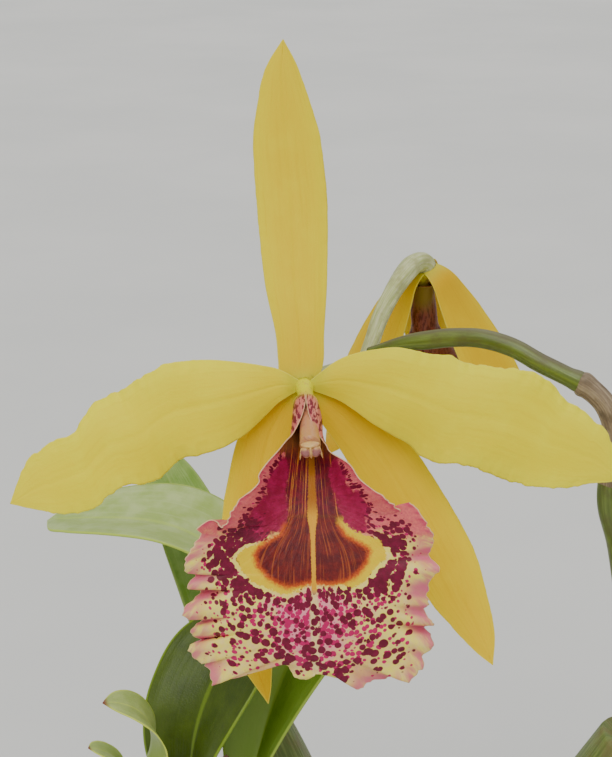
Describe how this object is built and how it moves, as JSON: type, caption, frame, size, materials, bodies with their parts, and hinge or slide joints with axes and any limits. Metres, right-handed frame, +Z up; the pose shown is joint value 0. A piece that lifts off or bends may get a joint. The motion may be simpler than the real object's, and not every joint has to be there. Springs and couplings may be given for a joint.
{
  "type": "potted orchid",
  "caption": "Potted cattleya orchid: yellow flower with a crimson, spotted and frilled lip, a second bloom behind, leathery leaves and pseudobulbs in a square nursery pot.",
  "frame": {"origin": "centre of the pot's underside, on the surface that it stands on", "axes": "+Z up, -Y towards the viewer whom the front bloom faces, +X to that viewer's right"},
  "size_m": [0.2808, 0.2188, 0.3819],
  "materials": {
    "pot_plastic": "matt black moulded plastic",
    "bark": "rough bark chips",
    "rhizome_skin": "woody, with dry scales",
    "pseudobulb_skin": "waxy green, with papery sheaths",
    "leaf_green": "leathery, half gloss",
    "leaf_pale_green": "leathery, pale with bloom",
    "dry_sheath_brown": "dry and papery",
    "peduncle_green": "smooth, half gloss",
    "tepal_yellow": "soft petal, matt with a fine sparkle",
    "lip_spotted": "soft petal, spotted, velvet in the throat",
    "column_cream": "waxy",
    "anther_cream": "waxy",
    "ovary_green": "waxy and ribbed"
  },
  "bodies": {
    "root": {"pot": "pot_plastic", "bark_medium": "bark", "rhizome_left": "rhizome_skin", "rhizome_right": "rhizome_skin", "pseudobulb_flowering": "pseudobulb_skin", "pseudobulb_middle": "pseudobulb_skin", "pseudobulb_back": "pseudobulb_skin", "pseudobulb_old_right": "pseudobulb_skin", "pseudobulb_old_left": "pseudobulb_skin", "young_shoot": "pseudobulb_skin", "leaf_bright": "leaf_green", "leaf_dark": "leaf_green", "leaf_pale": "leaf_pale_green", "leaf_back": "leaf_green", "leaf_right_back": "leaf_green", "leaf_right_front": "leaf_green", "young_leaf": "leaf_pale_green", "young_leaf_small": "leaf_pale_green", "dry_sheath": "dry_sheath_brown", "peduncle": "peduncle_green", "dorsal_sepal": "tepal_yellow", "left_petal": "tepal_yellow", "right_petal": "tepal_yellow", "left_lateral_sepal": "tepal_yellow", "right_lateral_sepal": "tepal_yellow", "lip": "lip_spotted", "column": "column_cream", "anther_cap": "anther_cream", "ovary": "ovary_green", "rear_ovary": "ovary_green", "rear_dorsal_sepal": "tepal_yellow", "rear_left_petal": "tepal_yellow", "rear_right_petal": "tepal_yellow", "rear_left_lateral_sepal": "tepal_yellow", "rear_right_lateral_sepal": "tepal_yellow", "rear_lip": "lip_spotted", "rear_column": "column_cream", "rear_anther_cap": "anther_cream"}
  },
  "joints": []
}
